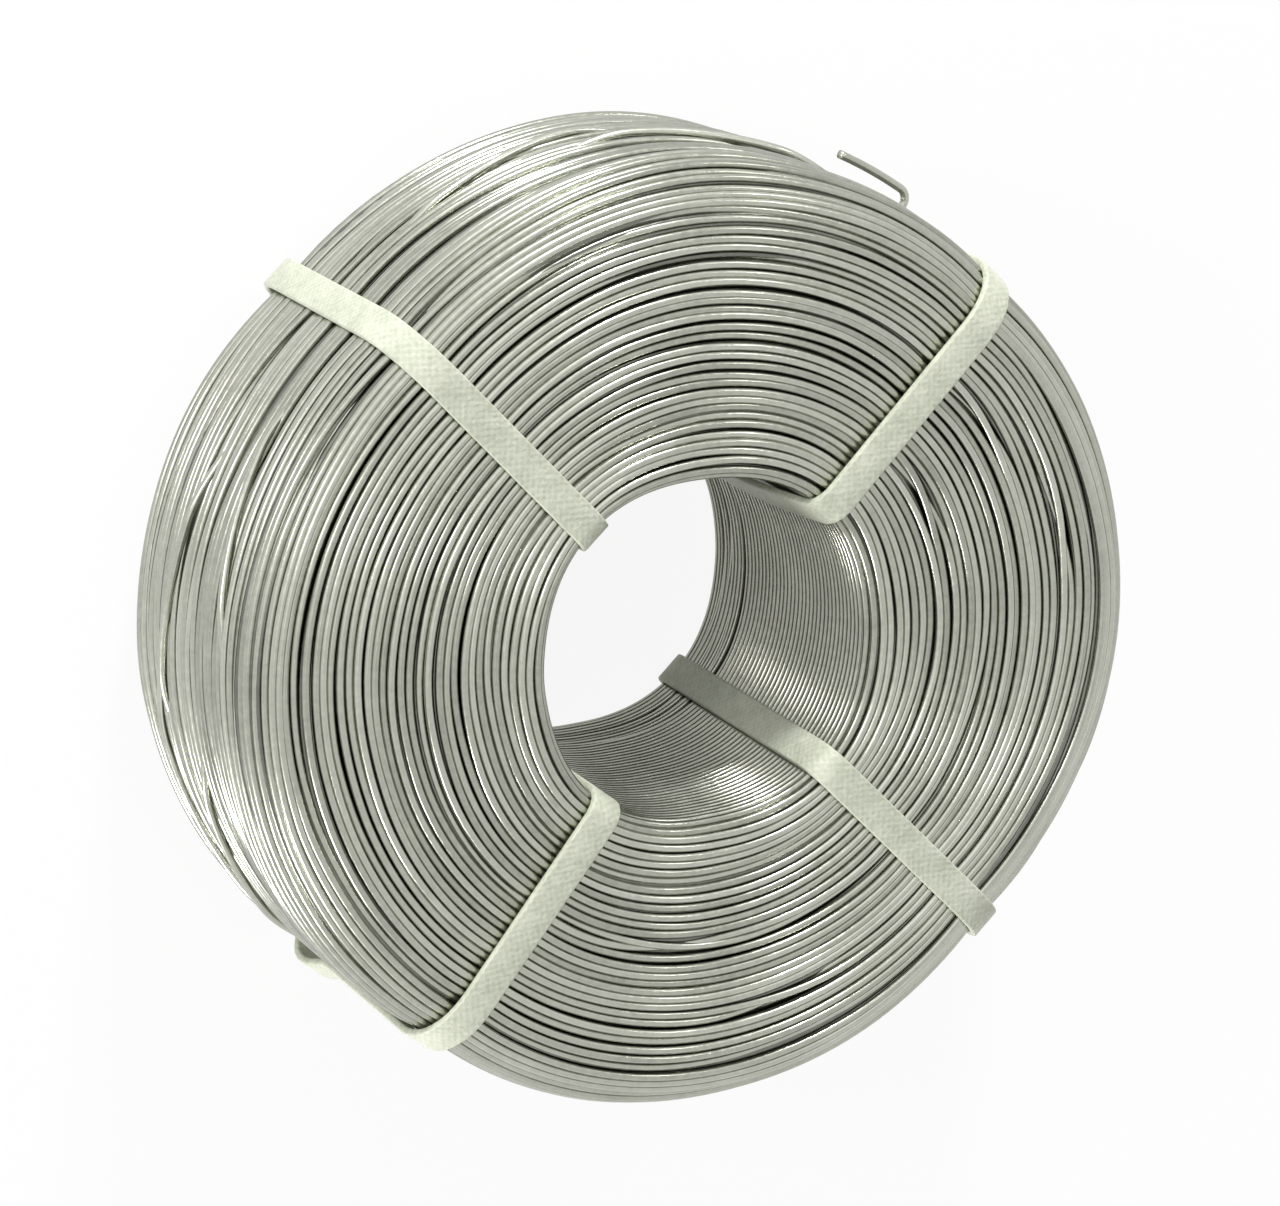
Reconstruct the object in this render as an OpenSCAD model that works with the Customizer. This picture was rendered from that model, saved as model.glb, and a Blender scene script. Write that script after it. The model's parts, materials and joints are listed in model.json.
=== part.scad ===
// A coil of stainless steel wire, level wound and held by four plastic straps.
// It lies on its back end: the coil's axis is the Z axis, its front end faces up, and the floor is at Z = 0.

/* [Coil] */
// Diameter over the outermost turns
coil_d = 128; // [110:1:150]
// Diameter inside the innermost turns
bore_d = 45; // [36:1:60]
// Width of the winding along its axis
coil_w = 48; // [36:1:64]
// Rounding of the winding's two outer edges
outer_edge_r = 8; // [5:0.5:12]
// Rounding of the winding's two edges at the bore
bore_edge_r = 2.5; // [2:0.25:5]

/* [Wire] */
// Diameter of the wire
wire_d = 1.14; // [0.94:0.02:1.7]
// Depth of the groove between neighbouring turns
groove_depth = 0.3; // [0.2:0.05:0.4]
// Angle at which the loose end comes out of the outermost turns
tail_angle = 55; // [52:1:66]
// Place of the loose end along the axis, from the middle towards the front
tail_offset = 5.5; // [-10:0.5:12]
// Height of the loose end's centreline over the outermost turns
tail_lift = 1.2; // [0.9:0.1:3]
// Bend radius of the loose end, on its centreline
tail_bend_r = 1.6; // [1.2:0.1:3]
// Length of the loose end past its bend
tail_length = 10.5; // [5:0.5:14]

/* [Straps] */
// Width of a strap
strap_w = 4.6; // [3.5:0.1:7]
// Thickness of a strap
strap_t = 1; // [0.6:0.1:1.4]
// Places of the four straps round the coil, seen from its front end
strap_angles = [46, 133, 232, 314]; // [0:1:359]
// How far the tightened straps draw the outermost turns in; at the bore they sink in flush
strap_bite = 2.2; // [1:0.1:3]
// Gap between a strap and the turns that it lies on
strap_gap = 0.05; // [0.02:0.01:0.2]
// Gap at each side of a strap, where the turns bulge beside it
strap_side_gap = 0.4; // [0.2:0.1:1]
// Length of the welded lap that closes a strap, on the coil's back end
lap_length = 15; // [8:1:20]

/* [Hidden] */
$fn = 96;

steel = [0.60, 0.60, 0.57];
plastic = [0.84, 0.86, 0.77];

coil_r = coil_d / 2;
bore_r = bore_d / 2;
half_w = coil_w / 2;
wire_r = wire_d / 2;
tail_r = coil_r + tail_lift;
tail_arc = tail_length / tail_r * 180 / PI;
rim_half_w = half_w - outer_edge_r + wire_r;
channel_w = strap_w + 2 * strap_side_gap;
bore_seat = bore_r + strap_t + strap_gap;
barrel_seat = coil_r - strap_bite;
strap_outside = strap_gap + strap_t;
lap_middle = (bore_r + coil_r) / 2;

// A rectangle from x0 to x1, as far as h each side of the X axis, with round corners
module rounded_section(x0, x1, h, r0, r1) {
  translate([x0 + r0, -h]) square([x1 - r1 - x0 - r0, 2 * h]);
  translate([x0, r0 - h]) square([r0, 2 * (h - r0)]);
  translate([x1 - r1, r1 - h]) square([r1, 2 * (h - r1)]);
  for (side = [-1, 1]) {
    translate([x0 + r0, side * (h - r0)]) circle(r0);
    translate([x1 - r1, side * (h - r1)]) circle(r1);
  }
}

// The turns that show in a straight row of the winding's section, from one point to another
module row_of_turns(from, to) {
  spaces = max(1, floor(norm(to - from) / wire_d));
  for (k = [0 : spaces]) translate(from + (to - from) * k / spaces) circle(d = wire_d);
}

// The turns that show round a corner of the section, without those where the corner meets its two rows
module corner_of_turns(centre, r, start) {
  spaces = max(1, floor(r * PI / 2 / wire_d));
  for (k = [1 : 1 : spaces - 1]) {
    a = start + 90 * k / spaces;
    translate(centre + r * [cos(a), sin(a)]) circle(d = wire_d);
  }
}

// How far off the axis the middle of a bulge lies, for half the angle between the straps at its sides
function bulge_shift(half_span) = (coil_r ^ 2 - barrel_seat ^ 2) / (2 * (coil_r - barrel_seat * cos(half_span)));

// The winding seen along its axis: drawn in at each strap, and bulging between the straps
module bulging_outline() {
  for (k = [0 : len(strap_angles) - 1]) {
    start = strap_angles[k];
    next = strap_angles[(k + 1) % len(strap_angles)];
    half_span = ((next - start + 360) % 360) / 2;
    shift = bulge_shift(half_span);
    rotate([0, 0, start + half_span]) translate([shift, 0]) circle(r = coil_r - shift);
  }
}

// The winding's section: a plain inside, bore and rim, with a round ridge for each turn on its two ends
module winding_section() {
  rounded_section(bore_r, coil_r - groove_depth, half_w - groove_depth,
                  bore_edge_r - groove_depth, outer_edge_r - groove_depth);
  translate([coil_r - outer_edge_r, -rim_half_w]) square([outer_edge_r + wire_d, 2 * rim_half_w]);
  for (side = [-1, 1]) {
    end_y = side * (half_w - wire_r);
    outer_edge = [coil_r - outer_edge_r, side * (half_w - outer_edge_r)];
    row_of_turns([bore_r + bore_edge_r, end_y], [outer_edge.x, end_y]);
    corner_of_turns(outer_edge, outer_edge_r - wire_r, side > 0 ? 0 : -90);
  }
}

// The winding's section where a strap holds it, grown by a margin
module strapped_section(margin) {
  rounded_section(bore_seat - margin, barrel_seat + margin, half_w + margin,
                  bore_edge_r + margin, outer_edge_r + margin);
}

// Sets a section through the axis upright at an angle round the coil, w thick
module at_angle(angle, w) {
  rotate([0, 0, angle]) rotate([90, 0, 0]) linear_extrude(w, center = true) children();
}

// What a tight strap presses out of the winding, on its rim and in its bore
module strap_channel(angle) {
  at_angle(angle, channel_w) difference() {
    translate([0, -coil_w]) square([coil_d, 2 * coil_w]);
    strapped_section(strap_gap / 5);
  }
}

// The wire's loose end: it comes out between the turns, bends over and runs back along them
module loose_end() {
  riser_top = tail_r - tail_bend_r;
  riser_foot = barrel_seat - wire_d;
  rotate([0, 0, tail_angle]) translate([0, 0, tail_offset]) {
    translate([riser_foot, 0, 0]) rotate([0, 90, 0]) cylinder(d = wire_d, h = riser_top - riser_foot);
    translate([riser_top, tail_bend_r, 0]) rotate([0, 0, -90])
      rotate_extrude(angle = 90) translate([tail_bend_r, 0]) circle(d = wire_d);
    translate([0, tail_bend_r, 0]) rotate_extrude(angle = tail_arc) translate([tail_r, 0]) circle(d = wire_d);
  }
}

// Lays the coil on its back end, on the straps' laps
module on_back_end() {
  translate([0, 0, half_w + strap_outside + strap_t]) children();
}

module wire_coil() {
  color(steel) on_back_end() {
    difference() {
      intersection() {
        rotate_extrude() winding_section();
        linear_extrude(2 * coil_w, center = true) bulging_outline();
      }
      for (angle = strap_angles) strap_channel(angle);
    }
    loose_end();
  }
}

// One strap: a flat band round the winding's section, closed by a lap on the back end
module strap(angle) {
  color(plastic) on_back_end() at_angle(angle, strap_w) {
    difference() {
      strapped_section(strap_outside);
      strapped_section(strap_gap);
    }
    translate([lap_middle - lap_length / 2, -half_w - strap_outside - strap_t]) square([lap_length, strap_t]);
  }
}

wire_coil();
strap(strap_angles[0]);  // strap_upper_right
strap(strap_angles[1]);  // strap_upper_left
strap(strap_angles[2]);  // strap_lower_left
strap(strap_angles[3]);  // strap_lower_right
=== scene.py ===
"""Dresses a strapped coil of stainless steel wire, and sets up the floor, light and camera.

The coil lies on its back end, with its axis upright. A place in the winding is given by a radius from
the axis, a width along it that grows towards the front end, which faces up, and an angle round it, seen
from the front. The turns that show lie along the outline of the winding's section. A distance along that
outline starts at the bore's edge on the front end, and runs over the front end, the rim, the back end and
the bore. Lengths are in metres, and angles in radians unless a comment says otherwise.
"""

import json
import math

import bpy
import numpy as np
from mathutils import Matrix, Vector


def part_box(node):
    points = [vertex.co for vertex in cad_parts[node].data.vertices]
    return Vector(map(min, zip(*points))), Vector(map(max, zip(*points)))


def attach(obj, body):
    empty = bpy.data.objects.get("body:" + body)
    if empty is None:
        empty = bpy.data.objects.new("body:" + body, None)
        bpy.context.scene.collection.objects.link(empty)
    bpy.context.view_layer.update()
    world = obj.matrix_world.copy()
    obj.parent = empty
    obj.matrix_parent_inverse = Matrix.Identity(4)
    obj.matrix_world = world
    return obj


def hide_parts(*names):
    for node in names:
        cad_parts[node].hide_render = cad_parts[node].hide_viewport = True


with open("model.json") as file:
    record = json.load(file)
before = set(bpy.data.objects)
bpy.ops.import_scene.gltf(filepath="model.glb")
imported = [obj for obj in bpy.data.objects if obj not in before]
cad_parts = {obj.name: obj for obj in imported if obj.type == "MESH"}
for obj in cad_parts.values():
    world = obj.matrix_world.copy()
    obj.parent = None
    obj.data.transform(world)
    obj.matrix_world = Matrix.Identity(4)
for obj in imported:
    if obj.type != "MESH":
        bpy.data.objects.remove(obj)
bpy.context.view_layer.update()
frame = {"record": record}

# Sizes that the frame gives
COIL_LOW, COIL_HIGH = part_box("wire_coil")
CENTRE = (COIL_LOW + COIL_HIGH) / 2
COIL_R = (COIL_HIGH.x - COIL_LOW.x) / 2
HALF_W = (COIL_HIGH.z - COIL_LOW.z) / 2
MOUNTS = {mount["name"]: mount for mount in frame["record"]["mounts"]}
BORE_R = MOUNTS["spindle_bore"]["dims"]["r_mm"] / 1000
STRAPS = ("strap_upper_right", "strap_upper_left", "strap_lower_left", "strap_lower_right")

# Sizes of the winding: its wire, the rounding of its edges, and the flat parts of its front end and rim
WIRE_D = 0.00114
WIRE_R = WIRE_D / 2
OUTER_EDGE_R = 0.008
BORE_EDGE_R = 0.0025
FRONT_END = 0.031
RIM_LENGTH = 0.032

# Sizes of the straps. They draw the rim in by the bite, and dent the bore as far along the rim as BORE_DENT.
STRAP_W = 0.0046
STRAP_T = 0.001
STRAP_EDGE_R = 0.3 * STRAP_T
STRAP_GAP = 0.00005
STRAP_BITE = 0.0022
BORE_DENT = 0.046
LAP_LENGTH = 0.015
LAP_RAMP = 0.003
EMBOSS_PITCH = 0.0011

# How far some straps stand off the turns: in the bore, and at the back end's outer corner. A strap starts to
# leave the rim a run before that corner, and counts as in the bore within a reach of its seat there.
BORE_LIFT = {"strap_upper_right": 0.0012}
CORNER_LIFT = {"strap_lower_left": 0.0022}
CORNER_RUN = 0.006
BORE_REACH = 0.0004

# Sizes of the wire's loose end
TAIL_ANGLE = math.radians(55)
TAIL_OFFSET = 0.0055
TAIL_LIFT = 0.0012
TAIL_BEND_R = 0.0016
TAIL_LENGTH = 0.0105

# How finely things are meshed: segments round the coil, sides of a wire, and steps along other paths
SEGMENTS = 220
SIDES = 8
DEEP_SEGMENTS = 120
DEEP_SIDES = 6
STRAY_STEPS = 60
STRAY_SIDES = 10
TAIL_SIDES = 12
RISER_STEPS = 8
TAIL_BEND_STEPS = 10
TAIL_STEPS = 16
OUTLINE_CORNER_STEPS = 13
CORE_STEPS = 80
STRAP_STEPS = 150
STRAP_CORNER_STEPS = 9
STRAP_EDGE_STEPS = 4

# Gaps from turn to turn, in wire diameters, inside a group of turns and after it. A range of counts
# leaves out its end.
SEED = 17
END_GAP = (-0.01, 0.02)
END_GROUP_GAP = (0.0, 0.14)
RIM_GAP = (0.0, 0.22)
RIM_GROUP_GAP = (0.12, 0.5)
BORE_GAP = -0.03
FIRST_GROUP = 3
GROUP_COUNT = (2, 6)

# How the turns wander. Waves have a number of harmonics and a size, and drifts have a reach before them.
# In the bore only a small share of it is left, and some moves fade out within an angle of the seam.
WAVE_FALL = 0.6
OWN_WAVES = (9, 0.00007)
SHARED_DRIFT = (0.006, 6, 0.00022)
RIM_DRIFT = (0.004, 5, 0.0003)
RIM_SWELL = (0.005, 11, 0.00032)
SWELL_SINK = 0.8
RIM_MARGIN = 0.006
DEPTH_WAVES = (7, 0.00012)
LOW_SHARE = 0.35
LOW_DEPTH = 0.0003
PLAIN_DEPTH = 0.00003
BORE_SIDEWAYS = 0.06
BORE_DEPTH = 0.08
SEAM_REACH = 0.12

# The widest steps from turn to turn, and the most that a turn rises above the others, in wire diameters.
# A strap holds the turns down within a distance along the rim.
WIDEST_ON_END = 1.2
WIDEST_ON_RIM = 1.45
HIGHEST = 0.5
HELD_DOWN = 0.008

# Arcs along which the turns are spread apart: how many, half their angle, their width in wire diameters
OPEN_ARCS = 70
OPEN_HALF = (0.25, 0.9)
OPEN_WIDTH = (0.1, 0.36)
OPEN_REACH = 0.004
# Arcs at the front end: distance along the outline, middle and half of the angle in degrees, width
FRONT_GAPS = (
    (0.0323, 150, 45, 0.1),
    (0.0298, 138, 60, 0.1),
    (0.0260, 206, 26, 0.5),
    (0.0300, 195, 30, 0.35),
)

# Turns that sink: the chance on the ends, on the rim with its corners, and at the bore's edge, the depth
# in wire diameters, and how many arcs of which half angle a turn sinks along
SUNKEN_ON_END = 0.08
SUNKEN_ON_RIM = 0.34
SUNKEN_AT_BORE = 0.8
SUNKEN_FROM = 0.022
SUNKEN_MARGIN = 0.01
SUNKEN_DEPTH = (0.45, 0.75)
SUNKEN_COUNT = (1, 4)
SUNKEN_HALF = (0.5, 1.6)

# Turns that change places: the chance, angles, the upper one's rise and both turns' sum in wire diameters
CROSS_ON_END = 0.3
CROSS_ON_RIM = 0.5
CROSS_MARGIN = 0.35
CROSS_HALF = (0.16, 0.34)
CROSS_RISE = (0.1, 0.45)
CROSS_SUM = 0.95
CROSS_STEP = (1, 4)

# Stretches that cross the outermost turns: first and last angle in degrees, and distance on the outline
STRAYS = (
    (139, 182, 0.0500, 0.0440),
    (150, 196, 0.0610, 0.0655),
    (186, 227, 0.0560, 0.0625),
    (178, 226, 0.0690, 0.0640),
    (60, 104, 0.0530, 0.0585),
    (84, 128, 0.0640, 0.0590),
    (240, 284, 0.0500, 0.0550),
    (262, 308, 0.0650, 0.0600),
    (320, 364, 0.0570, 0.0520),
    (352, 398, 0.0620, 0.0680),
)
STRAY_WAVE = 0.0003
STRAY_WAVES = 1.5
STRAY_RISE = 0.4
STRAY_DIVE = 1.7
STRAY_DIVE_SHARE = 0.3

# Below the turns that show, in wire diameters: the spacing and depth of the turns there, and the core's depth
DEEP_SPACING = 1.12
DEEP_DEPTH = 0.95
CORE_DEPTH = 1.5

# Tones of the wires, and the colours of the materials from dark to light
TURN_TONES = (0.1, 1.0)
# The bore's turns are darker than the others, and darker still towards the back end: painted shade
BORE_SHADE_TONES = (-0.4, 0.15)
STRAY_TONES = (0.4, 1.0)
DEEP_TONE = 0.3
TAIL_TONE = 0.7
STEEL_TONES = ((0.0, (0.32, 0.325, 0.278)), (0.5, (0.46, 0.47, 0.405)), (1.0, (0.58, 0.59, 0.52)))
# The turns below take a darker copy of the steel's colours, which paints the shade in the gaps between the
# turns that show
SHADED_BELOW_TONES = ((0.0, (0.15, 0.152, 0.13)), (0.5, (0.22, 0.224, 0.195)), (1.0, (0.28, 0.284, 0.25)))
# The core's near-black steel colours paint the shade deep in the gaps between the turns
CORE_SHADE_TONES = ((0.3, (0.07, 0.069, 0.062)), (0.7, (0.2, 0.197, 0.18)))
STRAP_TONES = ((0.0, (0.46, 0.485, 0.385)), (0.5, (0.555, 0.58, 0.465)), (1.0, (0.64, 0.66, 0.545)))
FLOOR_COLOUR = (0.9, 0.9, 0.9, 1)
WHITE = (1, 1, 1, 1)

# Finish of the materials: scales of their noise, roughness, and the emboss's share in a strap's relief
STAIN_SCALE = 90.0
GRAIN_SCALE = 900.0
CORE_SCALE = 600.0
CLOUD_SCALE = 260.0
FLECK_SCALE = 1500.0
STEEL_ROUGHNESS = (0.18, 0.27)
CORE_ROUGHNESS = 0.6
STRAP_ROUGHNESS = 0.48
FLOOR_ROUGHNESS = 0.9
EMBOSS_SHARE = 0.12

# Floor, world and lamps. The sky's level changes between two heights; a lamp has its place from the coil's
# middle, its size and its watts.
FLOOR_HALF = 4
FLOOR_GLOW = 0.9
WORLD_LEVEL = 0.5
SKY_LOW = 0.94
SKY_TOP = 0.88
SKY_HEIGHTS = (0.15, 0.85)
LAMPS = {
    "key": ((-0.42, 0.42, 0.8), (1.2, 1.2), 2),
    "side": ((-0.75, 0.3, 0.55), (0.2, 0.2), 1.3),
    "top": ((0.02, 0.85, 0.27), (0.12, 0.12), 7),
    "low": ((-0.65, -0.65, 0.09), (0.3, 0.16), 6.5),
    "spot": ((0.525, 0.615, 0.588), (0.08, 0.08), 0.5),
}

# Camera: direction and distance from the coil's middle, lens and sensor in millimetres, shift in pixels
CAMERA_TOWARD = (-0.4002, 0.2756, 0.8740)
CAMERA_DISTANCE = 0.6687
CAMERA_LENS = 141.9
CAMERA_SENSOR = 36
CAMERA_SHIFT = (6.6, 3.45)
CAMERA_NEAR = 0.01
IMAGE_WIDTH = 1280


def strap_angle(node):
    """Angle of a strap round the coil, seen from the front."""
    low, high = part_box(node)
    middle = (low + high) / 2 - CENTRE
    return math.atan2(middle.y, middle.x) % math.tau


# The turns start and end under the lower left strap
STRAP_ANGLES = {node: strap_angle(node) for node in STRAPS}
SEAM = STRAP_ANGLES["strap_lower_left"]
FINE_TURN = np.arange(SEGMENTS) / SEGMENTS * math.tau
FINE_ANGLE = FINE_TURN + SEAM
SEAM_FADE = np.clip(np.minimum(FINE_TURN, math.tau - FINE_TURN) / SEAM_REACH, 0, 1)


# Shape of the winding

def smooth(share):
    """Eases a share between 0 and 1."""
    return share * share * (3 - 2 * share)


def near_strap(angle, reach):
    """1 under a strap, falling smoothly to 0 at a distance along the rim."""
    ends = np.array(list(STRAP_ANGLES.values()))
    away = np.abs((np.asarray(angle)[..., None] - ends + math.pi) % math.tau - math.pi).min(axis=-1)
    return 1 - smooth(np.clip((away * COIL_R - STRAP_W / 2) / reach, 0, 1))


def rim_radius(angle):
    """The winding's radius at an angle: drawn in at each strap, and bulging between the straps."""
    ends = np.sort(np.array(list(STRAP_ANGLES.values())))
    seat = COIL_R - STRAP_BITE
    before = np.searchsorted(ends, np.asarray(angle) % math.tau, side="right") - 1
    half = ((ends[(before + 1) % len(ends)] - ends[before]) % math.tau) / 2
    shift = (COIL_R ** 2 - seat ** 2) / (2 * (COIL_R - seat * np.cos(half)))
    off = angle - ends[before] - half
    return shift * np.cos(off) + np.sqrt((COIL_R - shift) ** 2 - (shift * np.sin(off)) ** 2)


def cinch(radius, angle):
    """The radius that a turn takes at an angle, once the straps are tight."""
    inner = BORE_R + (STRAP_T + STRAP_GAP) * near_strap(angle, BORE_DENT)
    outer = rim_radius(angle)
    return inner + (radius - BORE_R) / (COIL_R - BORE_R) * (outer - inner)


def in_space(radius, width, angle, aside=0.0):
    """Points in space at places in the winding, moved aside along the turns."""
    c, s = np.cos(angle), np.sin(angle)
    return np.stack(np.broadcast_arrays(CENTRE.x + radius * c - aside * s, CENTRE.y + radius * s + aside * c,
                                        CENTRE.z + width), axis=-1)


def section_outline(inset):
    """Distances along the section's outline, and rows of radius, width and outward normal there."""
    quarter = np.linspace(0, math.pi / 2, OUTLINE_CORNER_STEPS)
    corners = (
        (COIL_R, HALF_W, OUTER_EDGE_R, 1, math.pi / 2),
        (COIL_R, -HALF_W, OUTER_EDGE_R, 1, 0),
        (BORE_R, -HALF_W, BORE_EDGE_R, -1, -math.pi / 2),
        (BORE_R, HALF_W, BORE_EDGE_R, -1, -math.pi),
    )
    rows = []
    for radius, width, edge_r, outward, start in corners:
        turn = start - quarter
        middle = (radius - outward * edge_r, width - math.copysign(edge_r, width))
        along = edge_r - inset
        rows.append(np.stack([middle[0] + along * np.cos(turn), middle[1] + along * np.sin(turn),
                              np.cos(turn), np.sin(turn)], axis=1))
    points = np.concatenate([rows[-1][-1:], *rows])
    steps = np.hypot(*np.diff(points[:, :2], axis=0).T)
    return np.concatenate([[0], np.cumsum(steps)]), points


# The rim starts and ends half way round its corners, and the bore half way round its corner at the back
OUTLINE_S, OUTLINE = section_outline(WIRE_R)
OUTLINE_LENGTH = OUTLINE_S[-1]
RIM_START = FRONT_END + 0.5 * math.pi / 2 * (OUTER_EDGE_R - WIRE_R)
RIM_END = RIM_START + 0.5 * math.pi * (OUTER_EDGE_R - WIRE_R) + RIM_LENGTH
BORE_START = OUTLINE_LENGTH - 2 * HALF_W + 2 * BORE_EDGE_R - 0.75 * math.pi * (BORE_EDGE_R - WIRE_R)


def on_section(distance, depth):
    """Radius and width of a wire's middle, a distance along the section's outline and a depth below it."""
    around = distance % OUTLINE_LENGTH
    radius, width, normal_r, normal_w = (np.interp(around, OUTLINE_S, OUTLINE[:, i]) for i in range(4))
    return radius - depth * normal_r, width - depth * normal_w


# How the turns that show lie

def waves(rng, count, harmonics, size):
    """Smooth random waves round the coil, a row for each turn, that start and end at nothing at the seam."""
    order = np.arange(1, harmonics + 1)
    weight = rng.normal(size=(count, harmonics, 1)) / order[:, None] ** WAVE_FALL
    phase = rng.uniform(0, math.tau, (count, harmonics, 1))
    swing = weight * (np.sin(order[:, None] * FINE_TURN + phase) - np.sin(phase))
    field = swing.sum(axis=1)
    return size * field / field.std()


def drift(rng, places, reach, harmonics, size):
    """Waves that turns near each other on the section share, falling out of step over a reach."""
    knots = np.arange(0, OUTLINE_LENGTH + reach, reach)
    field = waves(rng, len(knots), harmonics, size)
    at = places / reach
    low = np.clip(at.astype(int), 0, len(knots) - 2)
    share = smooth((at - low)[:, None])
    return field[low] * (1 - share) + field[low + 1] * share


def window(middle, half):
    """1 at an angle round the coil, falling smoothly to 0 at half an opening to either side of it."""
    away = np.abs((FINE_ANGLE - middle + math.pi) % math.tau - math.pi)
    return np.cos(np.clip(away / half, 0, 1) * math.pi / 2) ** 2


def lay_turns(rng):
    """Places along the section's outline of the turns that show, in small groups with wider gaps between."""
    places, at = [], 0.0
    left = FIRST_GROUP
    while at < OUTLINE_LENGTH - WIRE_D:
        places.append(at)
        left -= 1
        gap = rng.uniform(*(RIM_GAP if FRONT_END < at < RIM_END else END_GAP))
        if left == 0:
            left = int(rng.integers(*GROUP_COUNT))
            if at < FRONT_END or RIM_END < at < BORE_START:
                gap = rng.uniform(*END_GROUP_GAP)
            elif at < RIM_END:
                gap = rng.uniform(*RIM_GROUP_GAP)
        if at > BORE_START:
            gap = BORE_GAP
        at += WIRE_D * (1 + gap)
    return np.array(places) * (OUTLINE_LENGTH / at)


def open_gaps(rng, places):
    """Sideways moves that spread the turns apart along some arcs."""
    arcs = [(place, math.radians(middle), math.radians(half), wide * WIRE_D)
            for place, middle, half, wide in FRONT_GAPS]
    for _ in range(OPEN_ARCS):
        arcs.append((rng.uniform(0, BORE_START), rng.uniform(0, math.tau),
                     rng.uniform(*OPEN_HALF), rng.uniform(*OPEN_WIDTH) * WIRE_D))
    moves = np.zeros((len(places), len(FINE_TURN)))
    for place, middle, half, wide in arcs:
        away = places - place
        push = np.sign(away) * np.exp(-np.abs(away) / OPEN_REACH) * wide / 2
        moves += push[:, None] * window(middle, half)
    return moves * SEAM_FADE


def close_up(laid, widest):
    """Places of the turns with the widest steps narrowed: all share the room, and the first and last stay."""
    steps = np.minimum(np.diff(laid, axis=0), widest[:-1, None])
    closed = np.concatenate([laid[:1], laid[:1] + np.cumsum(steps, axis=0)])
    return closed + (laid[-1] - closed[-1]) * np.linspace(0, 1, len(laid))[:, None]


def sunken(rng, places):
    """Depths of the turns that lie lower along part of their way, which leaves a groove."""
    low = np.zeros((len(places), len(FINE_TURN)))
    for k in range(2, len(places) - 2):
        chance = SUNKEN_ON_RIM if SUNKEN_FROM < places[k] < RIM_END + SUNKEN_MARGIN else SUNKEN_ON_END
        if places[k] > BORE_START:
            chance = SUNKEN_AT_BORE if places[k] < BORE_START + SUNKEN_MARGIN else 0.0
        if low[k - 1].any() or rng.random() > chance:
            continue
        deep = rng.uniform(*SUNKEN_DEPTH) * WIRE_D
        for _ in range(int(rng.integers(*SUNKEN_COUNT))):
            arc = window(rng.uniform(0, math.tau), rng.uniform(*SUNKEN_HALF))
            low[k] = np.maximum(low[k], deep * arc ** 0.5)
    return low * SEAM_FADE


def cross_over(rng, places, sideways, depths):
    """Lets some neighbours change places, one over the other; gives the turn that each one runs on into."""
    follows = np.arange(len(places))
    k = 1
    while k < len(places) - 2:
        if places[k] > BORE_START:
            break
        if rng.random() < (CROSS_ON_END if places[k] < FRONT_END else CROSS_ON_RIM):
            middle = rng.uniform(CROSS_MARGIN, math.tau - CROSS_MARGIN)
            half = rng.uniform(*CROSS_HALF)
            share = smooth(np.clip((FINE_TURN - middle) / (2 * half) + 0.5, 0, 1))
            hump = np.sin(math.pi * np.clip((FINE_TURN - middle) / (3 * half) + 0.5, 0, 1)) ** 2
            step = places[k + 1] - places[k]
            sideways[k] += step * share
            sideways[k + 1] -= step * share
            over = rng.uniform(*CROSS_RISE)
            depths[k] -= over * WIRE_D * hump
            depths[k + 1] += (CROSS_SUM - over) * WIRE_D * hump
            follows[k], follows[k + 1] = k + 1, k
            k += 1
        k += int(rng.integers(*CROSS_STEP))
    return follows


# Materials

def feed(tree, node, inputs):
    """Links a node's inputs to the sockets that are given, and sets those for which a value is given."""
    for key, value in inputs.items():
        if isinstance(value, bpy.types.NodeSocket):
            tree.links.new(value, node.inputs[key])
        else:
            node.inputs[key].default_value = value


def add_node(tree, kind, inputs=None, **settings):
    """A new node with its settings and inputs."""
    node = tree.nodes.new(kind)
    for key, value in settings.items():
        setattr(node, key, value)
    feed(tree, node, inputs or {})
    return node


def maths(tree, operation, *values):
    """What a maths node gives for sockets or numbers."""
    return add_node(tree, "ShaderNodeMath", dict(enumerate(values)), operation=operation).outputs[0]


def new_material(name):
    """A material, its node tree and its Principled shader."""
    material = bpy.data.materials.new(name)
    material.use_nodes = True
    tree = material.node_tree
    return material, tree, tree.nodes["Principled BSDF"]


def noise(tree, scale, **inputs):
    """Noise in the coil's own space."""
    place = add_node(tree, "ShaderNodeNewGeometry").outputs["Position"]
    return add_node(tree, "ShaderNodeTexNoise", {"Vector": place, "Scale": scale, **inputs}).outputs["Fac"]


def spread(tree, value, low, high, to_low=0.0, to_high=1.0):
    """A value moved from one range to another."""
    return add_node(tree, "ShaderNodeMapRange", {"Value": value, "From Min": low, "From Max": high,
                                                 "To Min": to_low, "To Max": to_high}).outputs[0]


def ramp(tree, factor, stops):
    """A colour ramp from a factor, with stops of (place, colour)."""
    node = add_node(tree, "ShaderNodeValToRGB", {"Fac": factor})
    elements = node.color_ramp.elements
    while len(elements) < len(stops):
        elements.new(0.5)
    for element, (place, colour) in zip(elements, stops):
        element.position = place
        element.color = (*colour, 1)
    return node.outputs["Color"]


def bump(tree, height, strength, distance):
    """A normal from a height."""
    inputs = {"Height": height, "Strength": strength, "Distance": distance}
    return add_node(tree, "ShaderNodeBump", inputs).outputs[0]


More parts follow.
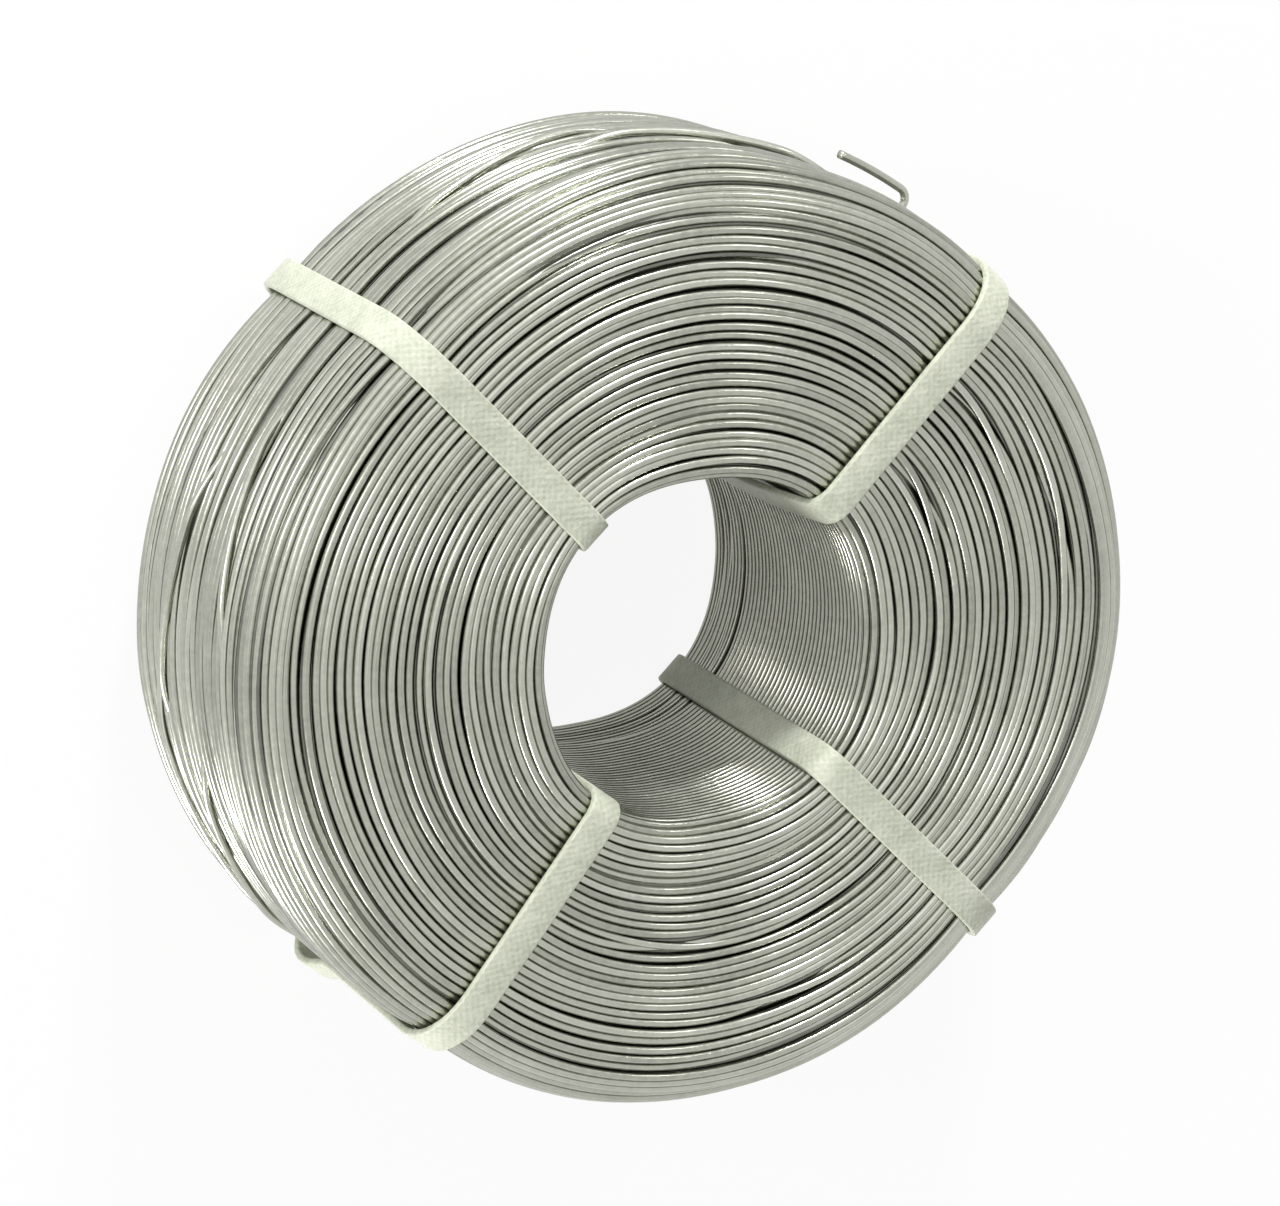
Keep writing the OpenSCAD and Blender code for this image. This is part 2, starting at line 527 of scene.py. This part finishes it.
def steel_material(name, tones):
    """Bare drawn wire: each turn a little lighter or darker, with fine grain and faint stains."""
    material, tree, shader = new_material(name)
    tone = add_node(tree, "ShaderNodeAttribute", attribute_name="tone").outputs["Fac"]
    stain = noise(tree, STAIN_SCALE, Detail=3.0, Roughness=0.6)
    grain = noise(tree, GRAIN_SCALE, Detail=4.0, Roughness=0.65)
    mixed = maths(tree, "ADD", maths(tree, "ADD", tone, stain), grain)
    feed(tree, shader, {
        "Base Color": ramp(tree, spread(tree, mixed, 0.7, 2.3), tones),
        "Metallic": 1.0,
        "Roughness": spread(tree, grain, 0.3, 0.7, *STEEL_ROUGHNESS),
        "Normal": bump(tree, grain, 0.04, 0.0002),
    })
    return material


def shaded_core_material():
    """The wire that shows only as a dark ground between the turns; its near-black colour is painted shade."""
    material, tree, shader = new_material("steel_core_painted_shade")
    feed(tree, shader, {
        "Base Color": ramp(tree, noise(tree, CORE_SCALE, Detail=3.0), CORE_SHADE_TONES),
        "Metallic": 1.0,
        "Roughness": CORE_ROUGHNESS,
    })
    return material


def strap_material():
    """Pale plastic strap, rolled with a fine emboss and faintly mottled."""
    material, tree, shader = new_material("strap_plastic")
    cloud = noise(tree, CLOUD_SCALE, Detail=4.0, Roughness=0.6)
    fleck = noise(tree, FLECK_SCALE, Detail=3.0, Roughness=0.6)
    ribs = []
    for name in ("along", "across"):
        at = add_node(tree, "ShaderNodeAttribute", attribute_name=name).outputs["Fac"]
        ribs.append(maths(tree, "SINE", maths(tree, "MULTIPLY", at, math.tau / EMBOSS_PITCH)))
    pressed = maths(tree, "MULTIPLY_ADD", maths(tree, "MULTIPLY", *ribs), EMBOSS_SHARE, fleck)
    mixed = maths(tree, "ADD", cloud, pressed)
    feed(tree, shader, {
        "Base Color": ramp(tree, spread(tree, mixed, 0.7, 1.3), STRAP_TONES),
        "Roughness": STRAP_ROUGHNESS,
        "Normal": bump(tree, mixed, 0.5, 0.0003),
    })
    return material


def seen_directly(tree):
    """1 for rays from the camera, and for rays that metal and glass send on."""
    path = add_node(tree, "ShaderNodeLightPath")
    seen = path.outputs["Is Camera Ray"]
    for kind in ("Is Glossy Ray", "Is Transmission Ray"):
        seen = maths(tree, "MAXIMUM", seen, path.outputs[kind])
    return seen


def floor_material():
    """A plain pale floor, which keeps a soft shadow."""
    material, tree, shader = new_material("floor")
    feed(tree, shader, {"Base Color": FLOOR_COLOUR, "Roughness": FLOOR_ROUGHNESS, "Specular IOR Level": 0.0})
    glow = add_node(tree, "ShaderNodeEmission", {"Color": WHITE, "Strength": 1.0})
    share = maths(tree, "MULTIPLY", seen_directly(tree), FLOOR_GLOW)
    mix = add_node(tree, "ShaderNodeMixShader", {0: share, 1: shader.outputs[0], 2: glow.outputs[0]})
    feed(tree, tree.nodes["Material Output"], {"Surface": mix.outputs[0]})
    return material


STEEL = steel_material("steel_wire", STEEL_TONES)
STEEL_PAINTED_SHADE = steel_material("steel_below_painted_shade", SHADED_BELOW_TONES)
SHADED_STEEL_CORE = shaded_core_material()
PLASTIC = strap_material()


# Making pieces

def make_piece(name, verts, faces, material, node, slot, **values):
    """A smooth mesh object that stands for a node, with named values for each point."""
    mesh = bpy.data.meshes.new(name)
    mesh.from_pydata(verts.reshape(-1, 3).tolist(), [], faces)
    mesh.shade_smooth()
    mesh.materials.append(material)
    for key, value in values.items():
        layer = mesh.attributes.new(key, "FLOAT", "POINT")
        layer.data.foreach_set("value", np.asarray(value, dtype=np.float32).ravel())
    piece = bpy.data.objects.new(name, mesh)
    bpy.context.collection.objects.link(piece)
    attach(piece, "root")
    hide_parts(node)


def closed_turns(name, distance, depth, angle, follows, sides, material, tone):
    """A piece of closed wires. A row of distance and depth is one turn, and follows says where it runs on."""
    radius, width = on_section(distance, depth)
    around = np.arange(sides) / sides * math.tau
    radius = cinch(radius, angle)[:, :, None] + WIRE_R * np.cos(around)
    width = width[:, :, None] + WIRE_R * np.sin(around)
    verts = in_space(radius, width, angle[None, :, None])
    index = np.arange(radius.size).reshape(radius.shape)
    ahead = np.concatenate([index[:, 1:], index[follows, :1]], axis=1)
    quads = np.stack([index, np.roll(index, -1, axis=2), np.roll(ahead, -1, axis=2), ahead], axis=-1)
    tones = np.broadcast_to(np.reshape(tone, (-1, 1, 1)), radius.shape)
    make_piece(name, verts, quads.reshape(-1, 4).tolist(), material, "wire_coil", "steel_wire", tone=tones)


def capped_tube(count, around, first=0):
    """Faces of a tube through a count of rings with points around each, closed at its ends."""
    index = np.arange(count * around).reshape(count, around) + first
    ring = np.roll(index, -1, axis=1)
    quads = np.stack([index[:-1], ring[:-1], ring[1:], index[1:]], axis=-1).reshape(-1, 4)
    return [*quads.tolist(), index[0][::-1].tolist(), index[-1].tolist()]


def stray_turns(rng):
    """Stretches of wire that cross the outermost turns and dive below them at both ends."""
    around = np.arange(STRAY_SIDES) / STRAY_SIDES * math.tau
    share = np.linspace(0, 1, STRAY_STEPS)
    eased = share ** 3 * (10 - 15 * share + 6 * share ** 2)
    dive = smooth(1 - np.clip(np.minimum(share, 1 - share) / STRAY_DIVE_SHARE, 0, 1))
    verts, faces, tones = [], [], []
    for start, end, first, last in STRAYS:
        angle = np.radians(start + (end - start) * share)
        phase = STRAY_WAVES * share + rng.random()
        wave = STRAY_WAVE * np.sin(math.tau * phase) * np.sin(math.pi * share) ** 2
        distance = first + (last - first) * eased + wave
        radius, width = on_section(distance, (STRAY_DIVE * dive - STRAY_RISE) * WIRE_D)
        radius = cinch(radius, angle)[:, None] + WIRE_R * np.cos(around)
        width = width[:, None] + WIRE_R * np.sin(around)
        faces += capped_tube(STRAY_STEPS, STRAY_SIDES, len(verts) * STRAY_STEPS * STRAY_SIDES)
        verts.append(in_space(radius, width, angle[:, None]))
        tones.append(np.full(radius.shape, rng.uniform(*STRAY_TONES)))
    make_piece("stray_turns", np.stack(verts), faces, STEEL, "wire_coil", "steel_wire",
               tone=np.stack(tones))


def deep_turns():
    """An even layer of turns below those that show, in a darker copy of the steel that paints the shade in
    the gaps.
    """
    turn = np.arange(DEEP_SEGMENTS) / DEEP_SEGMENTS * math.tau
    places = np.arange(0, OUTLINE_LENGTH - WIRE_D, WIRE_D * DEEP_SPACING)
    distance = np.broadcast_to(places[:, None], (len(places), DEEP_SEGMENTS))
    depth = np.full(distance.shape, DEEP_DEPTH * WIRE_D)
    closed_turns("deep_turns", distance, depth, turn + SEAM, np.arange(len(places)), DEEP_SIDES, STEEL_PAINTED_SHADE,
                 np.full(len(places), DEEP_TONE))


def core():
    """The ground below the turns: a closed ring, whose dark colour is painted shade deep in the gaps."""
    at = np.linspace(0, OUTLINE_LENGTH, CORE_STEPS, endpoint=False)
    spin = np.arange(DEEP_SEGMENTS) / DEEP_SEGMENTS * math.tau
    radius, width = on_section(at, CORE_DEPTH * WIRE_D)
    radius = cinch(radius[:, None], spin[None, :])
    verts = in_space(radius, width[:, None], spin)
    index = np.arange(radius.size).reshape(radius.shape)
    ahead = np.roll(index, -1, axis=1)
    quads = np.stack([index, ahead, np.roll(ahead, -1, axis=0), np.roll(index, -1, axis=0)], axis=-1)
    make_piece("core", verts, quads.reshape(-1, 4).tolist(), SHADED_STEEL_CORE, "wire_coil", "steel_wire")


def strap_path(bore_lift, corner_lift):
    """Places and outward normals along a strap's middle line, and the distances along it.

    The line runs from the strap's inner end on the coil's back round to the end that laps over it.
    """
    low_r = BORE_R + STRAP_T + STRAP_GAP
    high_r = COIL_R - STRAP_BITE
    off = STRAP_GAP + STRAP_T / 2
    middle_r = (BORE_R + COIL_R) / 2
    quarter = np.linspace(0, math.pi / 2, STRAP_CORNER_STEPS)
    corners = (
        (low_r + BORE_EDGE_R, -(HALF_W - BORE_EDGE_R), BORE_EDGE_R + off, -math.pi / 2),
        (low_r + BORE_EDGE_R, HALF_W - BORE_EDGE_R, BORE_EDGE_R + off, -math.pi),
        (high_r - OUTER_EDGE_R, HALF_W - OUTER_EDGE_R, OUTER_EDGE_R + off, math.pi / 2),
        (high_r - OUTER_EDGE_R, -(HALF_W - OUTER_EDGE_R), OUTER_EDGE_R + off, 0),
    )
    rows = [[middle_r + LAP_LENGTH / 2, -(HALF_W + off), 0, -1]]
    for centre_r, centre_w, bend, start in corners:
        for turn in start - quarter:
            rows.append([centre_r + bend * math.cos(turn), centre_w + bend * math.sin(turn),
                         math.cos(turn), math.sin(turn)])
    rows.append([middle_r - LAP_LENGTH / 2, -(HALF_W + off), 0, -1])
    rows = np.array(rows)
    length = np.concatenate([[0], np.cumsum(np.hypot(*np.diff(rows[:, :2], axis=0).T))])
    at = np.linspace(0, length[-1], STRAP_STEPS)
    path = np.stack([np.interp(at, length, rows[:, i]) for i in range(4)], axis=1)
    path[:, 2:] /= np.hypot(path[:, 2], path[:, 3])[:, None]

    # The lap over the inner end, the bow in the bore and the slack at the outer corner of the back end
    from_end = length[-1] - at
    rise = smooth(np.clip((LAP_LENGTH + LAP_RAMP - from_end) / LAP_RAMP, 0, 1)) * STRAP_T
    in_hole = np.clip((path[:, 1] + HALF_W - BORE_EDGE_R) / (2 * (HALF_W - BORE_EDGE_R)), 0, 1)
    bow = bore_lift * np.sin(math.pi * in_hole) * (path[:, 0] < low_r + BORE_REACH)
    corner_end = length[-1] - (high_r - OUTER_EDGE_R - middle_r + LAP_LENGTH / 2)
    corner_start = corner_end - math.pi / 2 * (OUTER_EDGE_R + off) - CORNER_RUN
    in_corner = np.clip((at - corner_start) / (corner_end - corner_start), 0, 1)
    slack = corner_lift * np.sin(math.pi * in_corner) ** 2
    path[:, :2] += path[:, 2:] * (rise + bow + slack)[:, None]
    return path, at


def strap_profile():
    """Outline of a strap's cross-section, with round edges: rows of side and height."""
    corner = np.linspace(0, math.pi / 2, STRAP_EDGE_STEPS)
    rows = []
    for sx, sy, start in ((1, 1, 0), (-1, 1, math.pi / 2), (-1, -1, math.pi), (1, -1, 1.5 * math.pi)):
        for turn in start + corner:
            rows.append([sx * (STRAP_W / 2 - STRAP_EDGE_R) + STRAP_EDGE_R * math.cos(turn),
                         sy * (STRAP_T / 2 - STRAP_EDGE_R) + STRAP_EDGE_R * math.sin(turn)])
    return np.array(rows)


def strap_band(node):
    """A strap as a flat band, bent round the coil's section and lapped over itself on the back."""
    path, at = strap_path(BORE_LIFT.get(node, 0.0), CORNER_LIFT.get(node, 0.0))
    profile = strap_profile()
    radius = path[:, 0, None] + path[:, 2, None] * profile[None, :, 1]
    width = path[:, 1, None] + path[:, 3, None] * profile[None, :, 1]
    side = np.broadcast_to(profile[None, :, 0], radius.shape)
    along = np.broadcast_to(at[:, None], radius.shape)
    verts = in_space(radius, width, STRAP_ANGLES[node], side)
    faces = capped_tube(*radius.shape)
    make_piece(node + "_band", verts, faces, PLASTIC, node, "strap", along=along, across=side)


def loose_end():
    """The wire's end, which comes up between the turns, bends over and runs back along them."""
    tail_r = COIL_R + TAIL_LIFT
    top = tail_r - TAIL_BEND_R
    foot = COIL_R - STRAP_BITE - WIRE_D
    rows = [(r, 0.0) for r in np.linspace(foot, top, RISER_STEPS)]
    for turn in np.linspace(0, math.pi / 2, TAIL_BEND_STEPS)[1:]:
        rows.append((top + TAIL_BEND_R * math.sin(turn), TAIL_BEND_R - TAIL_BEND_R * math.cos(turn)))
    for turn in np.linspace(0, TAIL_LENGTH / tail_r, TAIL_STEPS)[1:]:
        rows.append((tail_r * math.cos(turn), TAIL_BEND_R + tail_r * math.sin(turn)))
    rows = np.array(rows)
    ahead = np.gradient(rows, axis=0)
    ahead /= np.hypot(*ahead.T)[:, None]
    around = np.arange(TAIL_SIDES) / TAIL_SIDES * math.tau
    radius = rows[:, 0, None] + WIRE_R * ahead[:, 1, None] * np.cos(around)
    aside = rows[:, 1, None] - WIRE_R * ahead[:, 0, None] * np.cos(around)
    verts = in_space(radius, TAIL_OFFSET + WIRE_R * np.sin(around), TAIL_ANGLE, aside)
    make_piece("loose_end", verts, capped_tube(*radius.shape), STEEL, "wire_coil", "steel_wire",
               tone=np.full(radius.shape, TAIL_TONE))


# The turns that show: where they lie, how far they wander sideways and how deep they are
rng = np.random.default_rng(SEED)
places = lay_turns(rng)
in_bore = places > BORE_START
on_rim = (places > FRONT_END) & (places < RIM_END + RIM_MARGIN)
sideways = waves(rng, len(places), *OWN_WAVES) + drift(rng, places, *SHARED_DRIFT)
sideways[in_bore] *= BORE_SIDEWAYS
sideways += open_gaps(rng, places)
swell = drift(rng, places, *RIM_SWELL) * on_rim[:, None]
sideways += drift(rng, places, *RIM_DRIFT) * on_rim[:, None]
depths = np.abs(waves(rng, len(places), *DEPTH_WAVES))
depths += np.where(rng.random(len(places)) < LOW_SHARE, LOW_DEPTH, PLAIN_DEPTH)[:, None]
depths[in_bore] *= BORE_DEPTH
depths += swell - swell.min(axis=1, keepdims=True) * SWELL_SINK
depths += sunken(rng, places)
outside = np.nonzero(~in_bore)[0]
widest = WIRE_D * np.where(places[outside] < FRONT_END, WIDEST_ON_END, WIDEST_ON_RIM)
sideways[outside] = close_up(places[outside, None] + sideways[outside], widest) - places[outside, None]
follows = cross_over(rng, places, sideways, depths)
depths = np.maximum(depths, -HIGHEST * WIRE_D * (1 - near_strap(FINE_ANGLE, HELD_DOWN)))
tone = rng.uniform(*TURN_TONES, len(places))
# In the bore the tone falls towards the back end, which paints the shade there
tone = np.where(in_bore, np.interp(places, (BORE_START, OUTLINE_LENGTH), BORE_SHADE_TONES), tone)

# Each part of the section is a piece, and two turns that change places belong to the same one
sections = {
    "front_turns": places < RIM_START,
    "rim_turns": (places >= RIM_START) & (places < RIM_END),
    "back_turns": (places >= RIM_END) & ~in_bore,
    "bore_turns": in_bore,
}
owner = np.zeros(len(places), dtype=int)
for number, chosen in enumerate(sections.values()):
    owner[chosen] = number
for k in np.nonzero(owner[follows] != owner)[0]:
    owner[k] = owner[min(k, follows[k])]
for number, name in enumerate(sections):
    mine = np.nonzero(owner == number)[0]
    renumber = {turn: row for row, turn in enumerate(mine)}
    runs_on = np.array([renumber[follows[turn]] for turn in mine])
    distance = places[mine][:, None] + sideways[mine]
    closed_turns(name, distance, depths[mine], FINE_ANGLE, runs_on, SIDES, STEEL, tone[mine])

stray_turns(rng)
deep_turns()
core()
for node in STRAPS:
    strap_band(node)
loose_end()


# Floor, light and camera

floor_mesh = bpy.data.meshes.new("floor")
floor_mesh.from_pydata([(x * FLOOR_HALF, y * FLOOR_HALF, 0) for x, y in ((-1, -1), (1, -1), (1, 1), (-1, 1))],
                       [], [(0, 1, 2, 3)])
floor = bpy.data.objects.new("floor", floor_mesh)
bpy.context.collection.objects.link(floor)
floor.data.materials.append(floor_material())

for name, (place, size, watts) in LAMPS.items():
    lamp = bpy.data.lights.new(name, "AREA")
    lamp.shape = "RECTANGLE"
    lamp.size, lamp.size_y = size
    lamp.energy = watts
    holder = bpy.data.objects.new(name, lamp)
    bpy.context.collection.objects.link(holder)
    holder.location = Vector(place) + CENTRE
    holder.rotation_euler = (-Vector(place)).to_track_quat("-Z", "Y").to_euler()

# The world: white for the camera, an even dome in reflections, and a plain level of light on the object
world = bpy.data.worlds.new("world")
bpy.context.scene.world = world
world.use_nodes = True
tree = world.node_tree
direction = add_node(tree, "ShaderNodeTexCoord").outputs["Generated"]
height = add_node(tree, "ShaderNodeSeparateXYZ", {0: direction}).outputs["Z"]
dome = add_node(tree, "ShaderNodeMapRange",
                {"Value": height, "From Min": SKY_HEIGHTS[0], "From Max": SKY_HEIGHTS[1],
                 "To Min": SKY_LOW, "To Max": SKY_TOP},
                interpolation_type="SMOOTHSTEP")
camera_ray = add_node(tree, "ShaderNodeLightPath").outputs["Is Camera Ray"]
shown = add_node(tree, "ShaderNodeMix", {"Factor": camera_ray, "A": dome.outputs[0], "B": 1.0})
level = add_node(tree, "ShaderNodeMix",
                 {"Factor": seen_directly(tree), "A": WORLD_LEVEL, "B": shown.outputs["Result"]})
feed(tree, tree.nodes["Background"], {"Strength": level.outputs["Result"], "Color": WHITE})

# The camera is rolled so that +Y is up in the picture
camera_data = bpy.data.cameras.new("camera")
camera_data.lens = CAMERA_LENS
camera_data.sensor_width = CAMERA_SENSOR
camera_data.shift_x, camera_data.shift_y = (pixels / IMAGE_WIDTH for pixels in CAMERA_SHIFT)
camera_data.clip_start = CAMERA_NEAR
camera = bpy.data.objects.new("camera", camera_data)
bpy.context.collection.objects.link(camera)
toward = Vector(CAMERA_TOWARD).normalized()
right = Vector((0, 1, 0)).cross(toward).normalized()
camera.rotation_euler = Matrix((right, toward.cross(right), toward)).transposed().to_euler()
camera.location = CENTRE + CAMERA_DISTANCE * toward
bpy.context.scene.camera = camera
bpy.context.scene.view_settings.view_transform = "Standard"
